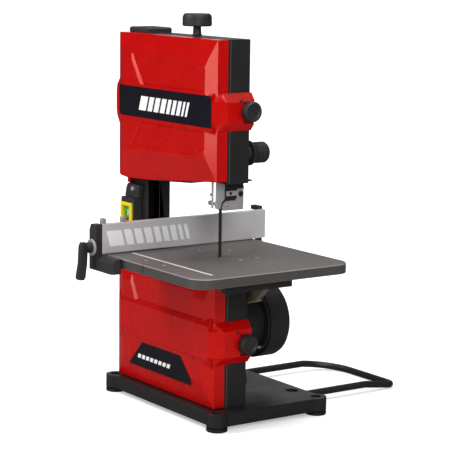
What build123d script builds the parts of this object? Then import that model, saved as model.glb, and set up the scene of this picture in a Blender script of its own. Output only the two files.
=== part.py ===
from build123d import *
import math
import os

# Bench band saw, millimetres. Origin on the floor under the middle of the base.
# +X is the operator's right, +Y points away from the operator, +Z is up.

# ---- driving dimensions ----
FOOT_H = 8.0                    # rubber foot height
BASE_W, BASE_D = 341.0, 224.0   # base plate
BASE_TOP = 30.0
FOOT_X, FOOT_Y = 157.0, 101.0   # foot positions
BOLT_R = 3.1                    # hole for an M6 bolt through each foot
BENCH_X, BENCH_Y = 104.0, 90.0  # bench bolt holes
BAR_X, BAR_R, BAR_Z = 91.0, 6.0, 15.0  # rear support bar and its height in the base

FRAME_Y0, FRAME_Y1 = -76.5, -34.5      # front edge and back face of both housings
COL_X0, COL_X1, COL_Y1 = -154.0, -96.0, -30.5
HOUSE_X1 = 142.0
WALL = 2.5
TOP_Z = 629.5
LOW_TOP, LOW_STEP = 248.0, 229.5       # lower housing, left and right top edges

WHEEL_R = 102.5                 # over the tyre
WHEEL_X, WHEEL_Y = 2.5, -61.5   # wheel axis and wheel mid-plane
WHEEL_W = 16.0
LOW_Z, UP_Z = 137.5, 516.0      # wheel axis heights
BLADE_X = WHEEL_X + WHEEL_R     # cutting run of the blade
BLADE_Y = -64.0                 # blade centre line on the tyre
BLADE_T, BLADE_W = 0.5, 7.0

TABLE = 300.0
TABLE_Z, TABLE_X, TABLE_Y = 275.4, 115.0, -62.0
PLATE_T, SKIRT_H, SKIRT_T = 4.5, 16.0, 3.0
TILT_X, TILT_Z = BLADE_X, TABLE_Z      # tilt axis, parallel to Y

DOOR_Y0, DOOR_SIDE, DOOR_FRONT = -77.0, -97.0, -105.5
HINGE_X, HINGE_Y, HINGE_R, PIN_R = -158.0, -78.0, 3.6, 1.6
LATCH_Y = -46.0

POST_X0, POST_X1 = 91.0, 101.0  # guide post, smooth body
POST_Y0, POST_Y1 = -30.0, -18.0
MODULE, TEETH = 1.5, 12         # guide rack and pinion
PINION_X, PINION_Z = 111.2, 443.0

MOTOR_R, COVER_R = 52.0, 66.0
GAP = 0.05                      # running clearance on a radius

NODES = {}


# ---- helpers ----
def node(name):
    """Register a function as the maker of one named sub-part."""
    def keep(maker):
        NODES[name] = maker
        return maker
    return keep


def box(x0, x1, y0, y1, z0, z1):
    middle = Pos((x0 + x1) / 2, (y0 + y1) / 2, (z0 + z1) / 2)
    return middle * Box(x1 - x0, y1 - y0, z1 - z0)


def rod_x(radius, y, z, x0, x1):
    return Pos((x0 + x1) / 2, y, z) * Rot(0, 90, 0) * Cylinder(radius, x1 - x0)


def rod_y(radius, x, z, y0, y1):
    return Pos(x, (y0 + y1) / 2, z) * Rot(-90, 0, 0) * Cylinder(radius, y1 - y0)


def rod_z(radius, x, y, z0, z1):
    return Pos(x, y, (z0 + z1) / 2) * Cylinder(radius, z1 - z0)


def face(points):
    return make_face(Polyline(*points, close=True))


def slab_xy(points, z0, z1):
    return Pos(0, 0, z0) * extrude(face(points), z1 - z0)


def slab_xz(points, y0, y1):
    return extrude(Plane.XZ.offset(-y1) * face(points), y1 - y0)


def slab_yz(points, x0, x1):
    return extrude(Plane.YZ.offset(x0) * face(points), x1 - x0)


def turned(profile):
    """Solid of revolution about Z from (radius, height) points."""
    return revolve(Plane.XZ * face(profile), Axis.Z)


def along_x(shape, x, y, z):
    return Pos(x, y, z) * Rot(0, 90, 0) * shape


def along_y(shape, x, y, z):
    return Pos(x, y, z) * Rot(-90, 0, 0) * shape


def fluted(shape, radius, depth, count, height):
    """Cut grip flutes round the rim of a turned knob."""
    flute = Cylinder(depth * 1.8, height * 2.4)
    for i in range(count):
        turn = Rot(0, 0, 360 * i / count)
        shape -= turn * Pos(radius + depth * 0.8, 0, height / 2) * flute
    return shape


def group(shapes):
    return Compound(children=list(shapes))


# ---- base ----
@node("base_plate")
def base_plate():
    body = extrude(RectangleRounded(BASE_W, BASE_D, 24), BASE_TOP - FOOT_H)
    body = chamfer(body.faces().sort_by(Axis.Z)[-1].edges(), 1.6)
    body -= extrude(RectangleRounded(BASE_W - 7, BASE_D - 7, 21), BASE_TOP - FOOT_H - 4)
    body = Pos(0, 0, FOOT_H) * body
    for sx in (-1, 1):
        for sy in (-1, 1):
            body += rod_z(17.5, sx * FOOT_X, sy * FOOT_Y, FOOT_H, BASE_TOP)
            body -= rod_z(BOLT_R, sx * FOOT_X, sy * FOOT_Y, 0, BASE_TOP + 1)
            body -= rod_z(9.0, sx * FOOT_X, sy * FOOT_Y, 22, BASE_TOP + 1)
        body += box(sx * BAR_X - 9, sx * BAR_X + 9, 58, BASE_D / 2 - 1, FOOT_H, 28)
        body += rod_z(12, sx * BENCH_X, BENCH_Y, FOOT_H, 28)
        body -= rod_y(BAR_R + GAP, sx * BAR_X, BAR_Z, 50, 120)
        body -= rod_z(4.5, sx * BENCH_X, BENCH_Y, 0, BASE_TOP + 1)
        body -= rod_z(10.5, sx * BENCH_X, BENCH_Y, 25, BASE_TOP + 1)
    return body


@node("rubber_feet")
def rubber_feet():
    """Rings bonded to the corner bosses, open for the bolts that hold the saw down."""
    foot = turned([(BOLT_R, 0), (BOLT_R, FOOT_H), (13.5, FOOT_H), (13.5, 6.2), (17.5, 5.6),
                   (17.5, 1), (16.5, 0)])
    corners = [(sx * FOOT_X, sy * FOOT_Y) for sx in (-1, 1) for sy in (-1, 1)]
    return group(Pos(x, y, 0) * foot for x, y in corners)


@node("frame_screws")
def frame_screws():
    """The switch bracket screw and the tilt clamp bolt."""
    bolt = along_y(extrude(RegularPolygon(7.5, 6), 5), TILT_X, -29, TILT_Z - 60)
    bolt += rod_y(4, TILT_X, TILT_Z - 60, -25, 0)
    return group([rod_y(3.6, *BRACKET_SCREW, -89.2, -84), bolt])


@node("support_bar")
def support_bar():
    """Bent tube that runs out of the base and down to the floor."""
    right = [(BAR_X, 60, BAR_Z), (BAR_X, 260, BAR_Z), (BAR_X, 327, BAR_R + 0.1)]
    left = [(-x, y, z) for x, y, z in reversed(right)]
    path = FilletPolyline(*right, *left, radius=15)
    ring = Circle(BAR_R) - Circle(BAR_R - 1.5)
    return sweep(Plane(origin=path @ 0, z_dir=path % 0) * ring, path=path)


# ---- frame ----
@node("column")
def column():
    tube = box(COL_X0, COL_X1, FRAME_Y0, COL_Y1, BASE_TOP, TOP_Z)
    tube -= box(COL_X0 + WALL, COL_X1 - WALL, FRAME_Y0 + WALL, COL_Y1 - WALL, 20, 700)
    for z0, z1 in ((BASE_TOP + WALL, LOW_TOP - WALL), (382, 700)):
        tube -= box(COL_X1 - 10, COL_X1 + 1, FRAME_Y0 + WALL, COL_Y1 - WALL, z0, z1)
    tube -= box(COL_X1 - 0.7, COL_X1 + 1, -52.6, -51.2, LOW_TOP, 378)
    return tube


@node("column_cap")
def column_cap():
    cap = box(COL_X0 - 0.5, COL_X1 + 0.5, FRAME_Y0 - 1, COL_Y1 + 1, TOP_Z, 638)
    cap = chamfer(cap.faces().sort_by(Axis.Z)[-1].edges(), 2.2)
    return cap + box(COL_X0 + 3, COL_X1 - 3, FRAME_Y0 + 3, COL_Y1 - 3, 620, TOP_Z)


UPPER_OUTLINE = [(COL_X1, 378.5), (38, 389), (60, 397.5), (HOUSE_X1, 398.5), (HOUSE_X1, TOP_Z),
                 (COL_X1, TOP_Z)]
UPPER_INSIDE = [(COL_X1 - 1, 381), (37.2, 391.6), (59.2, 400), (HOUSE_X1 - WALL, 401),
                (HOUSE_X1 - WALL, TOP_Z - WALL), (COL_X1 - 1, TOP_Z - WALL)]
LOWER_OUTLINE = [(COL_X1, BASE_TOP), (HOUSE_X1, BASE_TOP), (HOUSE_X1, LOW_STEP), (57, LOW_STEP),
                 (38.5, LOW_TOP), (COL_X1, LOW_TOP)]
LOWER_INSIDE = [(COL_X1 - 1, BASE_TOP + WALL), (HOUSE_X1 - WALL, BASE_TOP + WALL),
                (HOUSE_X1 - WALL, LOW_STEP - WALL), (56, LOW_STEP - WALL),
                (37.5, LOW_TOP - WALL), (COL_X1 - 1, LOW_TOP - WALL)]


def housing(outline, inside):
    """Sheet box, open at the front and towards the column."""
    return slab_xz(outline, FRAME_Y0, FRAME_Y1) - slab_xz(inside, FRAME_Y0 - 1, FRAME_Y1 - WALL)


@node("upper_housing")
def upper_housing():
    """Upper wheel housing with the two welded rails that guide the tension carriage."""
    body = housing(UPPER_OUTLINE, UPPER_INSIDE)
    body -= box(94, 115, FRAME_Y0 - 1, -50, 390, 405)
    body -= rod_z(4.05, WHEEL_X, -43.5, 620, 640)
    body -= box(WHEEL_X - 4.5, WHEEL_X + 4.5, FRAME_Y1 - 5, FRAME_Y1 + 1, 517, 537)
    for sx in (-1, 1):
        x0, x1 = sorted((WHEEL_X + sx * 18.6, WHEEL_X + sx * 24))
        body += box(x0, x1, -45, -37, 452, 572)
        x0, x1 = sorted((WHEEL_X + sx * 15.5, WHEEL_X + sx * 24))
        body += box(x0, x1, -46.8, -44.6, 452, 540)
    return body


@node("lower_housing")
def lower_housing():
    body = housing(LOWER_OUTLINE, LOWER_INSIDE)
    body -= box(99, 111, -71, -53, 220, 235)
    body -= rod_y(18, WHEEL_X, LOW_Z, FRAME_Y1 - 5, FRAME_Y1 + 1)
    body -= rod_y(15.5, 100, 66, FRAME_Y1 - 5, FRAME_Y1 + 1)
    return body


# ---- doors ----
@node("door_hinges")
def door_hinges():
    """Two frame leaves and the loose pins that the doors turn on."""
    leaves = []
    for z in (LOW_Z, UP_Z):
        leaf = box(COL_X0 - 2, COL_X0, FRAME_Y0, -55, z - 32, z + 32)
        leaf -= box(COL_X0 - 3, COL_X0 + 1, FRAME_Y0 - 1, -73.9, z - 12, z + 12)
        for z0, z1 in ((z - 32, z - 12), (z + 12, z + 32)):
            leaf += rod_z(HINGE_R, HINGE_X, HINGE_Y, z0, z1)
        leaves.append(leaf - rod_z(PIN_R + GAP, HINGE_X, HINGE_Y, z - 40, z + 40))
    leaves += [rod_z(PIN_R, HINGE_X, HINGE_Y, z - 32, z + 32) for z in (LOW_Z, UP_Z)]
    return group(leaves)


SKIN = 2.5                      # door wall


def belt_section(front, large):
    """Plan of the belt: it follows the left facet and wraps round the latch side when large."""
    if large:
        return [(-153.8, -78), (-153.8, -97.4), (-131, front), (138, front), (152, -94),
                (157, -88), (157, -34), (142.6, -31), (142.6, -78)]
    return [(-153.8, -78), (-153.8, -97.2), (-130, -105.6), (117.6, -105.6), (142.8, -97.3),
            (142.8, -88), (142.8, -32), (142.6, -31.5), (142.6, -78)]


def section(points, z):
    return Pos(0, 0, z) * face(points)


def slope(z_edge, z_flat, lean=0.0):
    """Cutter that slopes the door's front back to its top or bottom edge; lean tips it in XZ."""
    far = z_edge + 3 * (z_edge - z_flat)
    points = [(DOOR_SIDE, z_edge), (DOOR_FRONT, z_flat), (-140, z_flat), (-140, far),
              (DOOR_SIDE, far)]
    cutter = slab_yz([(y, z - z_edge) for y, z in points], -200, 200)
    return Pos(0, 0, z_edge) * Rot(0, -lean, 0) * cutter


def pocket(sign, middle, wide_z, step, left_foot):
    """Shallow pocket in the door front, above (+1) or below (-1) the middle of the belt."""
    def flip(points):
        return [(x, middle + sign * (z - middle)) for x, z in points]
    low = middle + 8
    outer = [(-112, wide_z), (95, wide_z), (89, wide_z - step), (118, wide_z - step), (118, low),
             (left_foot, low)]
    inner = [(-103, wide_z - 4), (90, wide_z - 4), (84, wide_z - step - 4),
             (118, wide_z - step - 4), (118, low), (left_foot + 8, low)]
    mouth = Plane.XZ.offset(-DOOR_FRONT + 0.2) * face(flip(outer))
    floor = Plane.XZ.offset(-DOOR_FRONT - 2.7) * face(flip(inner))
    return loft([mouth, floor], ruled=True)


def door_crown(outline, top, bottom, bottom_rise, lean):
    """Faceted front: both sides, the top and the bottom slope back from one flat plane."""
    crown = slab_xz(outline, DOOR_FRONT, DOOR_Y0)
    right = [(HOUSE_X1, DOOR_SIDE), (117, DOOR_FRONT), (117, -140), (200, -140), (200, DOOR_SIDE)]
    left = [(-154, DOOR_SIDE), (-129, DOOR_FRONT), (-129, -140), (-200, -140), (-200, DOOR_SIDE)]
    for side in (right, left):
        crown -= slab_xy(side, 0, 700)
    crown -= slope(top, top - 43)
    return crown - slope(bottom, bottom + bottom_rise, lean)


def belt(front, z, large_z, small_z, band):
    """Raised belt: a faceted wrap on the latch side and a flat band across the front."""
    sections = [section(belt_section(front, False), z + small_z[0]),
                section(belt_section(front, True), z + large_z[0]),
                section(belt_section(front, True), z + large_z[1]),
                section(belt_section(front, False), z + small_z[1])]
    wrap = loft(sections, ruled=True)
    strip = slab_yz([(-100, z + band[0]), (front, z + band[1]), (front, z + band[2]),
                     (-100, z + band[3])], -153.8, 138)
    strip -= slab_xy([(-153.8, -97.4), (-131, front), (-131, -120), (-200, -120)], 0, 700)
    return wrap + strip


def door_inside(shell, inside, z, core_low, core_high):
    """Hollows the door and fits the hinge knuckle, the latch recess and the latch stud hole."""
    shell -= slab_xz(inside, DOOR_SIDE + SKIN, DOOR_Y0 + 0.5)
    core = [(-146, -94), (-127, -100.4), (115, -100.4), (136, -94)]
    shell -= slab_xy(core, core_low, core_high)
    shell -= rod_z(HINGE_R + 0.6, HINGE_X, HINGE_Y, z - 40, z + 40)
    shell += box(HINGE_X, -152.5, -81.4, -78.2, z - 11.5, z + 11.5)
    shell += rod_z(HINGE_R, HINGE_X, HINGE_Y, z - 11.5, z + 11.5)
    shell -= rod_z(PIN_R + GAP, HINGE_X, HINGE_Y, z - 40, z + 40)
    shell -= box(151.5, 160, -57, -30, z - 19.5, z + 15.8)
    return shell - rod_x(3.0 + GAP, LATCH_Y, z, 140, 160)


@node("upper_door")
def upper_door():
    top, z = TOP_Z - 0.5, UP_Z
    outline = [(-154, 386.5), (-149, 383), (-128, 381.2), (-55, 385.5), (HOUSE_X1, 403.5),
               (HOUSE_X1, top), (-154, top)]
    inside = [(-151.5, 388), (-127, 384), (-55, 388.5), (139.5, 406.5), (139.5, top - SKIN),
              (-151.5, top - SKIN)]
    shell = door_crown(outline, top, 394, 44, 3.77)
    shell -= pocket(1, 519, 599, 13, -64)
    shell -= pocket(-1, 519, 599, 13, -64)
    shell += belt(DOOR_FRONT - 0.1, z, (-18, 15), (-32, 29), (-36, -33, 25, 29))
    bulge = [(-153, 558), (-167.5, 539), (-169.5, 530), (-169.5, 497), (-167.5, 486), (-153, 462)]
    shell += slab_xz(bulge, -94, -82)
    shell += box(-152, -143.5, -82, -78, 369.4, 392)
    return door_inside(shell, inside, z, 432, top - 36)


@node("lower_door")
def lower_door():
    top, step_top, z = LOW_TOP - 0.5, LOW_STEP - 0.5, LOW_Z
    outline = [(-154, 32), (HOUSE_X1, 32), (HOUSE_X1, step_top), (57, step_top), (38.5, top),
               (-154, top)]
    inside = [(-151.5, 34.5), (139.5, 34.5), (139.5, step_top - SKIN), (56, step_top - SKIN),
              (37.5, top - SKIN), (-151.5, top - SKIN)]
    shell = door_crown(outline, top, 32, 40, 0)
    shell -= pocket(1, 150, 222, 11, -82)
    shell += belt(DOOR_FRONT - 3, z, (-20, 24), (-34, 37), (-39, -24, 32, 44))
    return door_inside(shell, inside, z, 70, top - 40)


def latch_knob(z):
    body = turned([(0, 0), (10, 0), (10, 5.6), (15, 5.6), (16.5, 7), (16.5, 16.8), (14.4, 19.8),
                   (11.5, 19.8), (9, 18), (0, 18)])
    grip = Cylinder(1.3, 10)
    for i in range(24):
        body -= Rot(0, 0, 15 * i) * Pos(17.3, 0, 12) * grip
    return along_x(body, 152, LATCH_Y, z) + rod_x(3.0, LATCH_Y, z, 143.2, 153)


@node("upper_latch_knob")
def upper_latch_knob():
    return latch_knob(UP_Z)


@node("lower_latch_knob")
def lower_latch_knob():
    return latch_knob(LOW_Z)


# ---- wheels and blade ----
def wheel(z, bore):
    """Cast wheel: rim, web with round windows and a hub."""
    y0, y1 = WHEEL_Y - WHEEL_W / 2, WHEEL_Y + WHEEL_W / 2
    rim_r = WHEEL_R - 2.5
    body = rod_y(rim_r, WHEEL_X, z, y0, y1)
    body -= rod_y(rim_r - 6, WHEEL_X, z, y0 - 1, WHEEL_Y - 2)
    body -= rod_y(rim_r - 6, WHEEL_X, z, WHEEL_Y + 2, y1 + 1)
    body += rod_y(24, WHEEL_X, z, y0, y1)
    for i in range(6):
        angle = math.radians(60 * i + 30)
        x, up = WHEEL_X + 58 * math.cos(angle), z + 58 * math.sin(angle)
        body -= rod_y(17, x, up, y0 - 1, y1 + 1)
    return body - rod_y(bore, WHEEL_X, z, y0 - 1, y1 + 1)


def tyre(z):
    """Crowned rubber tyre stretched over the rim."""
    half = WHEEL_W / 2
    inner, outer = WHEEL_R - 2.5 + 0.02, WHEEL_R - GAP
    ring = turned([(inner, -half), (outer - 0.4, -half), (outer, -1.5), (outer, 1.5),
                   (outer - 0.4, half), (inner, half)])
    return along_y(ring, WHEEL_X, WHEEL_Y, z)


@node("upper_wheel")
def upper_wheel():
    return wheel(UP_Z, 14 + GAP)


@node("lower_wheel")
def lower_wheel():
    return wheel(LOW_Z, 7.5 + GAP)


@node("upper_tyre")
def upper_tyre():
    return tyre(UP_Z)


@node("lower_tyre")
def lower_tyre():
    return tyre(LOW_Z)


def ball_bearing(inner, outer, width):
    return Cylinder(outer, width) - Cylinder(inner, width + 2)


@node("upper_wheel_bearings")
def upper_wheel_bearings():
    ring = ball_bearing(6 + GAP, 14, 7)
    return group(along_y(ring, WHEEL_X, WHEEL_Y + dy, UP_Z) for dy in (-4, 4))


def loop_outline(radius):
    y0, y1 = BLADE_Y - BLADE_W / 2, BLADE_Y + BLADE_W / 2
    body = box(WHEEL_X - radius, WHEEL_X + radius, y0, y1, LOW_Z, UP_Z)
    for z in (LOW_Z, UP_Z):
        body += rod_y(radius, WHEEL_X, z, y0, y1)
    return body


@node("saw_blade")
def saw_blade():
    return loop_outline(WHEEL_R + BLADE_T) - loop_outline(WHEEL_R)


# ---- tension and tracking ----
@node("tension_carriage")
def tension_carriage():
    """Sliding plate with a screw lug on top and two ears that hold the pressed-in pivot pin."""
    body = box(WHEEL_X - 18.5, WHEEL_X + 18.5, -44.5, -37.2, 466, 545)
    body += box(WHEEL_X - 14, WHEEL_X + 14, -50, -37.2, 545, 556)
    for sx in (-1, 1):
        x0, x1 = sorted((WHEEL_X + sx * 11, WHEEL_X + sx * 15))
        body += box(x0, x1, -52.5, -44.5, 474, 486)
    body -= rod_z(3.5 + GAP, WHEEL_X, -43.5, 536, 560)
    body += rod_x(2.0, -49, 480, WHEEL_X - 15, WHEEL_X + 15)
    return body - rod_y(3.0 + GAP, WHEEL_X, 530, -50, -30)


@node("axle_bracket")
def axle_bracket():
    body = box(WHEEL_X - 10, WHEEL_X + 10, -51, -46, 483, 538)
    body += rod_x(3.7, -49, 480, WHEEL_X - 10.5, WHEEL_X + 10.5)
    body -= rod_x(2.0 + GAP, -49, 480, -40, 40)
    body += rod_y(9, WHEEL_X, UP_Z, -53.6, -50)
    return body + rod_y(6.0, WHEEL_X, UP_Z, -72, -50)


@node("axle_nut")
def axle_nut():
    nut = Pos(0, 0, -2.5) * extrude(RegularPolygon(8.5, 6), 5) - Cylinder(6 + GAP, 9)
    return along_y(nut, WHEEL_X, -72, UP_Z) + (
        rod_y(8.5, WHEEL_X, UP_Z, -76, -72.5) - rod_y(6 + GAP, WHEEL_X, UP_Z, -74, -70))


@node("tension_spring")
def tension_spring():
    path = Helix(pitch=4.4, height=36, radius=5.0)
    wire = Plane(origin=path @ 0, z_dir=path % 0) * Circle(0.7)
    return Pos(WHEEL_X, -43.5, 558) * sweep(wire, path=path, is_frenet=True)


@node("tension_knob")
def tension_knob():
    """Knob moulded on the blade tension screw."""
    body = turned([(0, 0), (8.5, 0), (7, 2.5), (6.6, 13.5), (9, 14.8), (23, 14.8), (24.5, 16.5),
                   (24.3, 30), (22.4, 34), (20.5, 35.4), (0, 35.8)])
    body = Pos(0, 0, TOP_Z + 0.2) * body
    flute = Cylinder(1.3, 15.5)
    for i in range(30):
        body -= Pos(0, 0, TOP_Z + 24) * Rot(0, 0, 12 * i) * Pos(25.5, 0, 0) * flute
    body += rod_z(3.5, 0, 0, 541, TOP_Z + 5)
    return Pos(WHEEL_X, -43.5, 0) * body


@node("tracking_knob")
def tracking_knob():
    body = turned([(0, 0), (8, 0), (8, 6), (15, 8), (16, 10), (16, 22), (14, 25), (0, 25)])
    body = fluted(body, 16, 0.8, 12, 17)
    body = along_y(body, WHEEL_X, FRAME_Y1 + 0.4, 530)
    return body + rod_y(3.0, WHEEL_X, 530, -45.2, FRAME_Y1 + 2)


# ---- blade guide ----
def rack_tooth(z):
    pitch_x = POST_X1 + 1.5
    points = [(POST_X1 - 0.2, z - 1.35), (pitch_x, z - 0.85), (pitch_x + 1.2, z - 0.45),
              (pitch_x + 1.2, z + 0.45), (pitch_x, z + 0.85), (POST_X1 - 0.2, z + 1.35)]
    return slab_xz(points, POST_Y0 + 1, POST_Y1 - 1)


@node("guide_post")
def guide_post():
    pitch = math.pi * MODULE
    body = box(POST_X0, POST_X1, POST_Y0, POST_Y1, 367, 560)
    for k in range(-2, 18):
        body += rack_tooth(PINION_Z + (k + 0.5) * pitch)
    return body


@node("guide_pinion")
def guide_pinion():
    pitch_r = MODULE * TEETH / 2
    body = rod_y(pitch_r - 1.6, 0, 0, -28.5, -19.5)
    for i in range(TEETH):
        points = [(pitch_r - 2.4, -1.3), (pitch_r, -0.8), (pitch_r + 1.1, -0.4),
                  (pitch_r + 1.1, 0.4), (pitch_r, 0.8), (pitch_r - 2.4, 1.3)]
        tooth = slab_xz(points, -28.5, -19.5)
        body += Rot(0, 360 * i / TEETH, 0) * tooth
    body += rod_y(3.0, 0, 0, -33.5, -8)
    return Pos(PINION_X, 0, PINION_Z) * body


@node("guide_knob")
def guide_knob():
    body = turned([(3 + GAP, 0), (20.5, 0), (20.5, 3), (15.6, 11.5), (15.6, 12.5), (17.4, 14),
                   (17.4, 31), (15.2, 34), (0, 34), (0, 8.6), (3 + GAP, 8.6)])
    flute = Cylinder(1.6, 19)
    for i in range(16):
        body -= Rot(0, 0, 22.5 * i) * Pos(18.4, 0, 23) * flute
    return along_y(body, PINION_X, -15, PINION_Z)


@node("guide_housing")
def guide_housing():
    body = box(85, 113, FRAME_Y1, -15.5, 400.5, 478)
    body = chamfer(body.faces().sort_by(Axis.Y)[-1].edges(), 3)
    body += rod_y(13, PINION_X, PINION_Z, FRAME_Y1, -15.5)
    body -= box(POST_X0 - 0.1, POST_X1 + 3.2, POST_Y0 - 0.1, POST_Y1 + 0.1, 390, 490)
    body -= rod_y(11, PINION_X, PINION_Z, -30.2, -18)
    body -= rod_y(3.0 + GAP, PINION_X, PINION_Z, -40, -10)
    foot = box(84, 122, FRAME_Y1, -13, 398, 400.5)
    foot -= box(POST_X0 - 0.2, POST_X1 + 3.2, POST_Y0 - 0.2, POST_Y1 + 0.2, 390, 410)
    return body + foot


GUIDE_LOW, GUIDE_TOP = 351.0, 367.0     # guide block, bottom and top
PIN_Y, PIN_Z = -62.0, 359.8
ROLLER_Y, ROLLER_Z = -50.8, 385.5


@node("guide_block")
def guide_block():
    body = box(POST_X0, 111, -66, -22, GUIDE_LOW, GUIDE_TOP)
    body = fillet(body.edges().filter_by(Axis.X).sort_by(Axis.Y)[:2], 7)
    body += box(POST_X1 + 0.5, 111, -36, -21.5, 360, 386)
    body -= box(104.1, 106.4, -70, -52, 340, 380)
    body -= rod_x(3.0, -28, 377, 106, 112)
    return body - rod_x(2.5 + GAP, PIN_Y, PIN_Z, 80, 120)


@node("guide_bracket")
def guide_bracket():
    """Black arm that carries the thrust roller and curls down in front of the block."""
    arm = [(-60, 371), (-60, 392), (-56, 395.5), (-24, 395.5), (-22, 386.1), (-36.1, 386.1),
           (-36.1, 371)]
    body = slab_yz(arm, 109.6, 112.6)
    curl = [(-40, 375), (-58, 375), (-61, 370), (-65, 366.5), (-68, 359), (-68, 351), (-66.4, 351),
            (-66.4, 358.5), (-64.6, 364.2), (-58, 367.8), (-40, 367.8)]
    body += slab_yz(curl, 112.5, 114)
    return body + rod_x(2.5, ROLLER_Y, ROLLER_Z, 99, 110)


@node("thrust_roller")
def thrust_roller():
    ring = turned([(2.5 + GAP, -3.9), (8, -3.9), (9, -3), (9, 3), (8, 3.9), (2.5 + GAP, 3.9)])
    return along_x(ring, BLADE_X + 0.25, ROLLER_Y, ROLLER_Z)


@node("guide_screws")
def guide_screws():
    """Two side guide pins, the left one with a thumb head, and the two guard screws."""
    left = rod_x(2.5, PIN_Y, PIN_Z, 74, 104.8) + rod_x(4, PIN_Y, PIN_Z, 72, 77)
    right = rod_x(2.5, PIN_Y, PIN_Z, 105.7, 110.9)
    guard = rod_x(2.7, 0, 0, 112.45, 115.4) - rod_x(1.3, 0, 0, 114, 116)
    return group([left, right, Pos(0, -61.5, 362.6) * guard, Pos(0, -54.3, 361.2) * guard])


@node("blade_guard")
def blade_guard():
    """Folded guard: side plate on the block and a slotted flange in front of the blade."""
    side = [(-76.2, 355), (-51, 355), (-50.5, 364), (-56.5, 366), (-60.1, 366), (-60.1, 470),
            (-76.2, 470)]
    body = slab_yz(side, 111.2, 112.4)
    body += box(97, 112.4, -76.2, -75, 355, 470)
    return body - box(102.5, 108.8, -78, -74, 350, 452)


@node("lower_blade_guide")
def lower_blade_guide():
    body = box(95, 116, -68, -38, LOW_STEP, 246)
    body -= box(104.1, 106.4, -70, -50, LOW_STEP - 1, 250)
    return body - rod_y(3, 105.2, 240, -50, -30)


# ---- motor ----
TIE_RADIUS = 58.0


def at_ties(make):
    for i in range(4):
        angle = math.radians(45 + 90 * i)
        yield make(WHEEL_X + TIE_RADIUS * math.cos(angle), LOW_Z + TIE_RADIUS * math.sin(angle))


def end_shield(radius, y0, y1):
    body = rod_y(radius, WHEEL_X, LOW_Z, y0, y1)
    for ear in at_ties(lambda x, z: rod_y(5.0, x, z, y0, y1)):
        body += ear
    for hole in at_ties(lambda x, z: rod_y(2.5 + GAP, x, z, y0 - 1, y1 + 1)):
        body -= hole
    return body - rod_y(16 + GAP, WHEEL_X, LOW_Z, y0 - 1, y1 + 1)


@node("motor_end_shields")
def motor_end_shields():
    """Front shield, bolted to the housing, and the wider rear shield that carries the cover."""
    return group([end_shield(54, FRAME_Y1, -26), end_shield(COVER_R - 2.55, 66, 74)])


@node("motor_housing")
def motor_housing():
    body = rod_y(MOTOR_R, WHEEL_X, LOW_Z, -26, 66)
    return body - rod_y(MOTOR_R - 4, WHEEL_X, LOW_Z, -27, 67)


@node("motor_tie_rods")
def motor_tie_rods():
    def tie(x, z):
        return rod_y(2.5, x, z, FRAME_Y1 + 0.5, 80) + rod_y(4.5, x, z, 74.2, 78)
    return group(at_ties(tie))


@node("stator_core")
def stator_core():
    return rod_y(MOTOR_R - 4.1, WHEEL_X, LOW_Z, -4, 46) - rod_y(32, WHEEL_X, LOW_Z, -5, 47)


@node("rotor")
def rotor():
    """Rotor core shrunk on the shaft that carries the lower wheel and the fan."""
    return rod_y(31.5, WHEEL_X, LOW_Z, -4, 46) + rod_y(7.5, WHEEL_X, LOW_Z, -72, 100)


@node("motor_bearings")
def motor_bearings():
    ring = ball_bearing(7.5 + GAP, 16, 7.8)
    return group(along_y(ring, WHEEL_X, y, LOW_Z) for y in (-30.2, 70))


@node("cooling_fan")
def cooling_fan():
    body = rod_y(15, WHEEL_X, LOW_Z, 82, 97) + rod_y(50, WHEEL_X, LOW_Z, 82, 84)
    for i in range(10):
        blade = Rot(0, 36 * i, 0) * box(12, 50, 83, 97, -1, 1)
        body += Pos(WHEEL_X, 0, LOW_Z) * blade
    return body - rod_y(7.55, WHEEL_X, LOW_Z, 76, 105)


@node("fan_cover")
def fan_cover():
    shell = turned([(COVER_R, 0), (COVER_R, 35), (COVER_R - 2, 40), (COVER_R - 6, 43.5), (0, 43.5),
                    (0, 41), (COVER_R - 7, 41), (COVER_R - 4.3, 38.5), (COVER_R - 2.5, 34.5),
                    (COVER_R - 2.5, 0)])
    for ring_r in (14, 25, 36, 47):
        count = max(6, round(ring_r / 3.4))
        for i in range(count):
            slot = Pos(ring_r, 0, 42) * Box(3.4, 2 * math.pi * ring_r / count - 4.5, 12)
            shell -= Rot(0, 0, 360 * i / count) * slot
    return along_y(shell, WHEEL_X, 70.5, LOW_Z)


@node("motor_cable")
def motor_cable():
    path = FilletPolyline((WHEEL_X - 34, 16, 102), (WHEEL_X - 34, 16, 66), (-125, 16, 66),
                          (-125, COL_Y1, 66), radius=12)
    cord = sweep(Plane(origin=path @ 0, z_dir=path % 0) * Circle(3.4), path=path)
    return cord - rod_y(MOTOR_R, WHEEL_X, LOW_Z, -26, 66)


@node("dust_port")
def dust_port():
    body = rod_y(18, 100, 66, FRAME_Y1, -15) + rod_y(24, 100, 66, FRAME_Y1, -31.5)
    return body - rod_y(15.5, 100, 66, -40, -10)


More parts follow.
